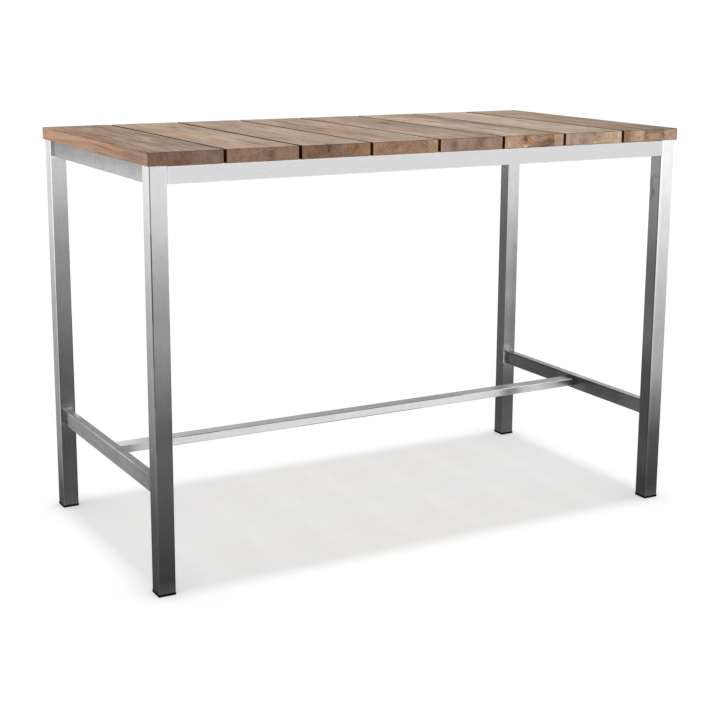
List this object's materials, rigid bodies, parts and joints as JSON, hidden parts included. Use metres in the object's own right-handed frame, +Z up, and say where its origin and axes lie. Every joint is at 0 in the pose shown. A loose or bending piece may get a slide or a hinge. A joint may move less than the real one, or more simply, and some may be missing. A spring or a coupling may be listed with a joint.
{
  "type": "outdoor bar table",
  "caption": "Rectangular bar-height outdoor table: reclaimed-teak boards laid across a welded square-tube stainless frame with a low H-shaped footrest.",
  "frame": {"origin": "on the floor under the middle of the top, midway between the four legs", "axes": "+X along the table's length to the right, +Y from the front to the back, +Z up"},
  "size_m": [1.6, 0.8, 1.1],
  "materials": {
    "weathered_teak": "bare reclaimed teak, weathered and sanded",
    "brushed_stainless": "satin brushed along each tube",
    "black_plastic": "moulded, matt",
    "bright_screw_steel": "bright stainless"
  },
  "bodies": {
    "root": {"board_1": "weathered_teak", "board_2": "weathered_teak", "board_3": "weathered_teak", "board_4": "weathered_teak", "board_5": "weathered_teak", "board_6": "weathered_teak", "board_7": "weathered_teak", "board_8": "weathered_teak", "leg_front_left": "brushed_stainless", "foot_cap_front_left": "black_plastic", "leg_front_right": "brushed_stainless", "foot_cap_front_right": "black_plastic", "front_rail": "brushed_stainless", "front_fixing_strip": "brushed_stainless", "front_board_screws": "bright_screw_steel", "leg_back_left": "brushed_stainless", "foot_cap_back_left": "black_plastic", "leg_back_right": "brushed_stainless", "foot_cap_back_right": "black_plastic", "back_rail": "brushed_stainless", "back_fixing_strip": "brushed_stainless", "back_board_screws": "bright_screw_steel", "left_end_rail": "brushed_stainless", "left_side_stretcher": "brushed_stainless", "right_end_rail": "brushed_stainless", "right_side_stretcher": "brushed_stainless", "centre_stretcher": "brushed_stainless"}
  },
  "joints": []
}
